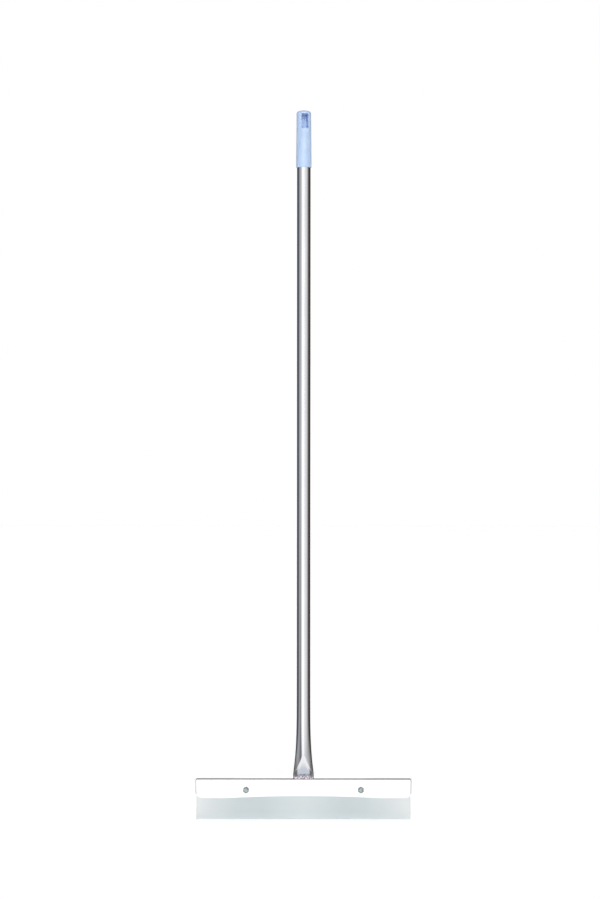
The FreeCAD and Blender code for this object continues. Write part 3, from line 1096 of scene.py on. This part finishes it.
class SQUEEGEE_OT_grip(bpy.types.Operator):
    """Model the moulded grip with its hanging pocket"""

    bl_idname = "squeegee.grip"
    bl_label = "Hand grip"

    def execute(self, context):
        settings = context.scene.squeegee_grip
        low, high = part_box("hand_grip")
        rim = (high.x - low.x) / 2
        tube_radius = span("handle_tube").y / 2
        top_radius = tube_radius + 0.8 * MM
        shoulder = 4.5 * MM
        dome = 1.4 * MM
        piece = rod("moulded_grip", rim, (0, 0, low.z), (0, 0, high.z), GRIP_SIDES)
        # Half a step round, so that the pocket's sides fall on edges of the mesh.
        piece.matrix_world = Matrix.Rotation(math.radians(180 / GRIP_SIDES), 4, "Z")
        settle(piece)
        ceiling = high.z - settings.pocket_drop
        floor = ceiling - settings.pocket_height
        step, apart = 1.4 * MM, 0.6 * MM
        even = [low.z + step * i for i in range(1, int((high.z - low.z - shoulder - dome) / step))]
        rows = [z for z in even if min(abs(z - ceiling), abs(z - floor)) > apart]
        curve_base = high.z - dome - shoulder
        curve = [curve_base + shoulder * math.sin(math.radians(90 * i / 10)) for i in range(10)]
        rings_at(piece, sorted(rows + [ceiling, floor] + curve))
        self.shape_outside(piece, low, high, rim, top_radius, shoulder, dome)
        self.sink_pocket(piece, floor, ceiling, top_radius - settings.back_wall)
        self.bore_for_tube(piece, low, tube_radius + 0.05 * MM, settings.bore_depth)
        self.punch_mark(piece, low.z + 10.3 * MM)
        piece.matrix_world = Matrix.Rotation(settings.turn, 4, "Z")
        settle(piece)
        smooth(piece, 40)
        mount(piece, "squeegee", "pale_blue_plastic", moulded_polyethylene(settings), "hand_grip")
        return {"FINISHED"}

    def shape_outside(self, piece, low, high, rim, top_radius, shoulder, dome):
        """Tapers the side, rounds the shoulder and domes the top."""
        activate(piece)
        bpy.ops.object.mode_set(mode="EDIT")
        pick(piece, lambda p, f: p.z > high.z - NEAR and f.normal.z > 0.9, "faces")
        # Rings across the top for the dome.
        flat = top_radius - shoulder
        bpy.ops.mesh.inset(thickness=rim - flat, depth=0)
        rings = 7
        for _ in range(rings - 1):
            bpy.ops.mesh.inset(thickness=flat / rings, depth=0)
        bpy.ops.object.mode_set(mode="OBJECT")
        curve_base = high.z - dome - shoulder
        for vertex in piece.data.vertices:
            x, y, z = vertex.co
            radius = math.hypot(x, y)
            if z > high.z - NEAR:
                if radius > flat * 1.02:
                    vertex.co.z = high.z - dome
                    shrink = flat / radius
                    vertex.co.x, vertex.co.y = x * shrink, y * shrink
                else:
                    vertex.co.z = high.z - dome * (radius / flat) ** 2
                continue
            if z <= curve_base:
                wanted = rim + (top_radius - rim) * (z - low.z) / (curve_base - low.z)
            else:
                rise = min(1.0, (z - curve_base) / shoulder)
                wanted = flat + shoulder * math.sqrt(max(0.0, 1 - rise**2))
            vertex.co.x, vertex.co.y = x * wanted / radius, y * wanted / radius
        face_out(piece)

    def sink_pocket(self, piece, floor, ceiling, back):
        """Sinks the window's faces straight back and flattens them, then softens the mouth."""
        half_turn = math.radians(180 * POCKET_SIDES / GRIP_SIDES + 0.5)

        def in_window(p, face):
            facing = abs(math.atan2(p.x, -p.y)) < half_turn
            return facing and floor < p.z < ceiling and math.hypot(p.x, p.y) > 10 * MM

        activate(piece)
        bpy.ops.object.mode_set(mode="EDIT")
        pick(piece, in_window, "faces")
        bpy.ops.mesh.extrude_region_move(
            TRANSFORM_OT_translate={"value": (0, 5 * MM, 0), "orient_type": "GLOBAL"}
        )
        bpy.ops.transform.resize(value=(1, 0, 1), center_override=(0, back, 0))
        bpy.ops.object.mode_set(mode="OBJECT")
        bpy.ops.object.mode_set(mode="EDIT")

        def on_mouth(p, edge):
            sharp = edge.calc_face_angle(0) > math.radians(50)
            inside = floor - MM < p.z < ceiling + MM and p.y < back + 0.5 * MM
            return sharp and inside and abs(p.x) < 9 * MM

        pick(piece, on_mouth, "edges")
        bpy.ops.mesh.bevel(offset=0.45 * MM, segments=3, affect="EDGES", clamp_overlap=True)
        bpy.ops.object.mode_set(mode="OBJECT")

    def bore_for_tube(self, piece, low, bore, depth):
        """Chamfers the rim and bores the underside for the tube."""
        activate(piece)
        bpy.ops.object.mode_set(mode="EDIT")
        pick(piece, lambda p, f: p.z < low.z + NEAR and f.normal.z < -0.9, "faces")
        rim = span("hand_grip").x / 2
        bpy.ops.mesh.inset(thickness=rim - bore, depth=0)
        bpy.ops.mesh.extrude_region_move(
            TRANSFORM_OT_translate={"value": (0, 0, depth), "orient_type": "GLOBAL"}
        )
        pick(
            piece,
            lambda p, e: p.z < low.z + NEAR and abs(math.hypot(p.x, p.y) - rim) < 0.3 * MM,
            "edges",
        )
        bpy.ops.mesh.bevel(offset=0.6 * MM, segments=3, affect="EDGES")
        bpy.ops.object.mode_set(mode="OBJECT")
        face_out(piece)

    def punch_mark(self, piece, height):
        """Presses the dimple that locks the grip on the tube."""
        front, reach, depth = -13.5 * MM, 2.2 * MM, 0.6 * MM
        for vertex in piece.data.vertices:
            x, y, z = vertex.co
            away = math.hypot(x, z - height)
            if y <= front and away < reach:
                vertex.co.y += depth * (1 - (away / reach) ** 2)


# ---- stage ----
def all_round(places):
    """A colour ramp's stops, from colours at turns from the front in degrees."""
    return [((angle + 180) / 360, shade) for angle, shade in places]


def studio_light(world):
    """Soft light all round, with the panels and gaps of a small studio for polished steel to mirror."""
    world.use_nodes = True
    tree = world.node_tree
    tree.nodes.clear()
    place = add_node(tree, "ShaderNodeTexCoord")
    parts = add_node(tree, "ShaderNodeSeparateXYZ", {"Vector": place.outputs["Generated"]})
    toward = add_node(tree, "ShaderNodeMath", {0: parts.outputs["Y"], 1: -1.0}, operation="MULTIPLY")
    azimuth = add_node(tree, "ShaderNodeMath", {0: parts.outputs["X"], 1: toward}, operation="ARCTAN2")
    turn = add_node(
        tree, "ShaderNodeMapRange", {"Value": azimuth, "From Min": -math.pi, "From Max": math.pi}
    )
    # Turns from the front, in degrees, and what is there: panels in front and dim gaps at the sides.
    panels = [
        (-180, grey(0.2)),
        (-150, linear("#6A7180")),
        (-128, linear("#565D6C")),
        (-98, linear("#555B66")),
        (-88, linear("#858890")),
        (-75, grey(0.50)),
        (-55, grey(0.58)),
        (-37, grey(0.92)),
        (-20, grey(1.5)),
        (-2, grey(1.5)),
        (14, grey(1.2)),
        (32, grey(1.02)),
        (50, grey(0.92)),
        (69, grey(0.53)),
        (80, grey(0.25)),
        (91, linear("#544A44")),
        (119, linear("#463C36")),
        (150, linear("#5C524C")),
        (180, grey(0.2)),
    ]
    around = add_node(tree, "ShaderNodeValToRGB", {"Fac": turn}, all_round(panels))
    height = add_node(
        tree, "ShaderNodeMapRange", {"Value": parts.outputs["Z"], "From Min": -1.0, "From Max": 1.0}
    )
    up_down = add_node(
        tree,
        "ShaderNodeValToRGB",
        {"Fac": height},
        [
            (0.0, linear("#D4DCEC")),
            (0.30, linear("#E4EAF6")),
            (0.42, grey(1.0)),
            (0.61, grey(1.0)),
            (0.71, grey(0.35)),
            (0.82, grey(0.16)),
            (1.0, grey(0.16)),
        ],
    )
    # A dim stand low on the left draws the thin dark line down the tube's left side.
    stand = add_node(
        tree,
        "ShaderNodeValToRGB",
        {"Fac": turn},
        all_round([(-70, grey(1)), (-57, grey(0.4)), (-50, grey(0.4)), (-30, grey(1))]),
    )
    low = add_node(
        tree,
        "ShaderNodeMapRange",
        {"Value": parts.outputs["Z"], "From Min": -0.16, "From Max": 0.0, "To Min": 1.0, "To Max": 0.0},
    )
    with_stand = add_node(
        tree,
        "ShaderNodeMix",
        {"Factor": low, MIX_A: around, MIX_B: stand},
        data_type="RGBA",
        blend_type="MULTIPLY",
    )
    front_and_sides = add_node(
        tree,
        "ShaderNodeMix",
        {"Factor": 1.0, MIX_A: with_stand, MIX_B: up_down},
        data_type="RGBA",
        blend_type="MULTIPLY",
    )
    # A low panel behind, which only the back of the squeegee mirrors.
    rear = add_node(
        tree,
        "ShaderNodeValToRGB",
        {"Fac": turn},
        all_round([(-180, grey(1.1)), (-150, grey(0)), (150, grey(0)), (180, grey(1.1))]),
    )
    under = add_node(
        tree,
        "ShaderNodeMapRange",
        {"Value": parts.outputs["Z"], "From Min": -0.02, "From Max": 0.05, "To Min": 1.0, "To Max": 0.0},
    )
    mirrored = add_node(
        tree,
        "ShaderNodeMix",
        {"Factor": under, MIX_A: front_and_sides, MIX_B: rear},
        data_type="RGBA",
        blend_type="ADD",
    )
    soft = add_node(
        tree,
        "ShaderNodeValToRGB",
        {"Fac": turn},
        all_round(
            [(-180, grey(0.75)), (-90, grey(0.5)), (0, grey(0.2)), (90, grey(0.5)), (180, grey(0.75))]
        ),
    )
    # One large lamp in front and a little above lights what faces it, the hanging pocket too.
    facing = add_node(
        tree,
        "ShaderNodeVectorMath",
        {0: place.outputs["Generated"], 1: (0, -math.cos(0.2), math.sin(0.2))},
        operation="DOT_PRODUCT",
    )
    lamp = add_node(
        tree,
        "ShaderNodeMapRange",
        {"Value": facing, "From Min": 0.93, "From Max": 0.97, "To Min": 0.0, "To Max": 6.4},
    )
    lit_softly = add_node(
        tree, "ShaderNodeMix", {"Factor": 1.0, MIX_A: soft, MIX_B: lamp}, data_type="RGBA", blend_type="ADD"
    )
    path = add_node(tree, "ShaderNodeLightPath")
    studio = add_node(
        tree,
        "ShaderNodeMix",
        {"Factor": path.outputs["Is Glossy Ray"], MIX_A: lit_softly, MIX_B: mirrored},
        data_type="RGBA",
    )
    seen = add_node(
        tree,
        "ShaderNodeMix",
        {"Factor": path.outputs["Is Camera Ray"], MIX_A: studio, MIX_B: (1, 1, 1, 1)},
        data_type="RGBA",
    )
    lit = add_node(tree, "ShaderNodeBackground", {"Color": seen, "Strength": 1.0})
    add_node(tree, "ShaderNodeOutputWorld", {"Surface": lit})


def pale_floor(settings):
    """Plain white vinyl, lit through from below like a product table, so that it carries no hard shadow."""
    made, tree = new_material("pale_floor")
    grain = add_node(
        tree, "ShaderNodeTexNoise", {"Vector": on_object(tree), "Scale": 1 / (20 * MM), "Detail": 2.0}
    )
    tone = tuple(settings.floor)
    tint = add_node(
        tree, "ShaderNodeValToRGB", {"Fac": grain}, [(0.3, tuple(c * 0.99 for c in tone)), (0.7, tone)]
    )
    return surfaced(
        made,
        {"Roughness": 0.6, "Emission Color": (1, 1, 1, 1), "Emission Strength": 0.5, "Base Color": tint},
    )


def mirrored_board():
    """White board for the steel to mirror: bluish close to the foot, and dim at both sides."""
    made, tree = new_material("mirrored_board")
    place = add_node(tree, "ShaderNodeTexCoord")
    away = add_node(tree, "ShaderNodeVectorMath", {0: place.outputs["Object"]}, operation="LENGTH")
    share = add_node(tree, "ShaderNodeMapRange", {"Value": away, "From Max": 0.4})
    tint = add_node(
        tree,
        "ShaderNodeValToRGB",
        {"Fac": share},
        [(0.1, linear("#E2EAF6")), (0.35, linear("#E9F0FA")), (0.55, grey(1.25)), (1.0, grey(1.35))],
    )
    sideways, parts = own_axes(tree)
    forward = add_node(tree, "ShaderNodeMath", {0: parts.outputs["Y"], 1: -1.0}, operation="MULTIPLY")
    angle = add_node(tree, "ShaderNodeMath", {0: sideways, 1: forward}, operation="ARCTAN2")
    turn = add_node(tree, "ShaderNodeMapRange", {"Value": angle, "From Max": math.pi})
    # The pressed slopes beside the facet mirror what lies at the sides, so they stay dark.
    dim = add_node(
        tree,
        "ShaderNodeValToRGB",
        {"Fac": turn},
        [(0.22, grey(1)), (0.32, grey(0.5)), (0.42, grey(0.12)), (0.58, grey(0.12)), (0.72, grey(1))],
    )
    near = add_node(
        tree,
        "ShaderNodeMapRange",
        {"Value": away, "From Min": 0.3, "From Max": 0.38, "To Min": 1.0, "To Max": 0.0},
    )
    shaded = add_node(
        tree,
        "ShaderNodeMix",
        {"Factor": near, MIX_A: tint, MIX_B: dim},
        data_type="RGBA",
        blend_type="MULTIPLY",
    )
    return surfaced(made, {"Color": shaded, "Strength": 1.0}, "ShaderNodeEmission")


class SQUEEGEE_OT_stage(bpy.types.Operator):
    """Set up the floor, the studio light and the camera"""

    bl_idname = "squeegee.stage"
    bl_label = "Stage"

    def execute(self, context):
        settings = context.scene.squeegee_stage
        scene = context.scene
        # The floor lies just under the board, and both just under the blade.
        floor_z, board_z = -0.4 * MM, -0.2 * MM
        deselect()
        bpy.ops.mesh.primitive_plane_add(size=24, location=(0, 0, floor_z))
        floor = added("floor")
        settle(floor)
        floor.data.materials.append(pale_floor(settings))
        floor.visible_glossy = False
        deselect()
        bpy.ops.mesh.primitive_circle_add(
            vertices=64, radius=0.42, fill_type="NGON", location=(0, 0, board_z)
        )
        board = added("board")
        settle(board)
        board.data.materials.append(mirrored_board())
        for rays in ("camera", "diffuse", "transmission", "shadow"):
            setattr(board, f"visible_{rays}", False)
        world = bpy.data.worlds.new("studio")
        scene.world = world
        studio_light(world)
        camera = bpy.data.cameras.new("camera")
        camera.lens = settings.lens
        camera.sensor_width = 36
        camera.clip_end = 100
        holder = bpy.data.objects.new("camera", camera)
        scene.collection.objects.link(holder)
        holder.location = (settings.camera_side, -settings.camera_distance, settings.camera_height)
        holder.rotation_euler = (math.radians(90), settings.camera_roll, 0)
        scene.camera = holder
        scene.view_settings.view_transform = "Standard"
        return {"FINISHED"}


# ---- panel and registration ----
PIECES = (
    SQUEEGEE_OT_tube,
    SQUEEGEE_OT_channel,
    SQUEEGEE_OT_welds,
    SQUEEGEE_OT_blade,
    SQUEEGEE_OT_bolts,
    SQUEEGEE_OT_washers,
    SQUEEGEE_OT_nuts,
    SQUEEGEE_OT_grip,
    SQUEEGEE_OT_stage,
)
SETTINGS = {
    "squeegee_tube": SqueegeeTubeSettings,
    "squeegee_head": SqueegeeHeadSettings,
    "squeegee_blade": SqueegeeBladeSettings,
    "squeegee_bolts": SqueegeeBoltSettings,
    "squeegee_grip": SqueegeeGripSettings,
    "squeegee_stage": SqueegeeStageSettings,
}


class SQUEEGEE_PT_panel(bpy.types.Panel):
    """Lists the squeegee's sizes, colours and pieces"""

    bl_idname = "SQUEEGEE_PT_panel"
    bl_label = "Window squeegee"
    bl_space_type = "VIEW_3D"
    bl_region_type = "UI"
    bl_category = "Squeegee"

    def draw(self, context):
        for name, group in SETTINGS.items():
            column = self.layout.box().column()
            for key in group.__annotations__:
                column.prop(getattr(context.scene, name), key)
        for piece in PIECES:
            self.layout.operator(piece.bl_idname)


def register():
    for item in (*SETTINGS.values(), *PIECES, SQUEEGEE_PT_panel):
        bpy.utils.register_class(item)
    for name, group in SETTINGS.items():
        setattr(bpy.types.Scene, name, bpy.props.PointerProperty(type=group))


def unregister():
    for name in SETTINGS:
        delattr(bpy.types.Scene, name)
    for item in reversed((*SETTINGS.values(), *PIECES, SQUEEGEE_PT_panel)):
        bpy.utils.unregister_class(item)


def main():
    register()
    for piece in PIECES:
        category, name = piece.bl_idname.split(".")
        getattr(getattr(bpy.ops, category), name)()


if __name__ == "__main__":
    main()
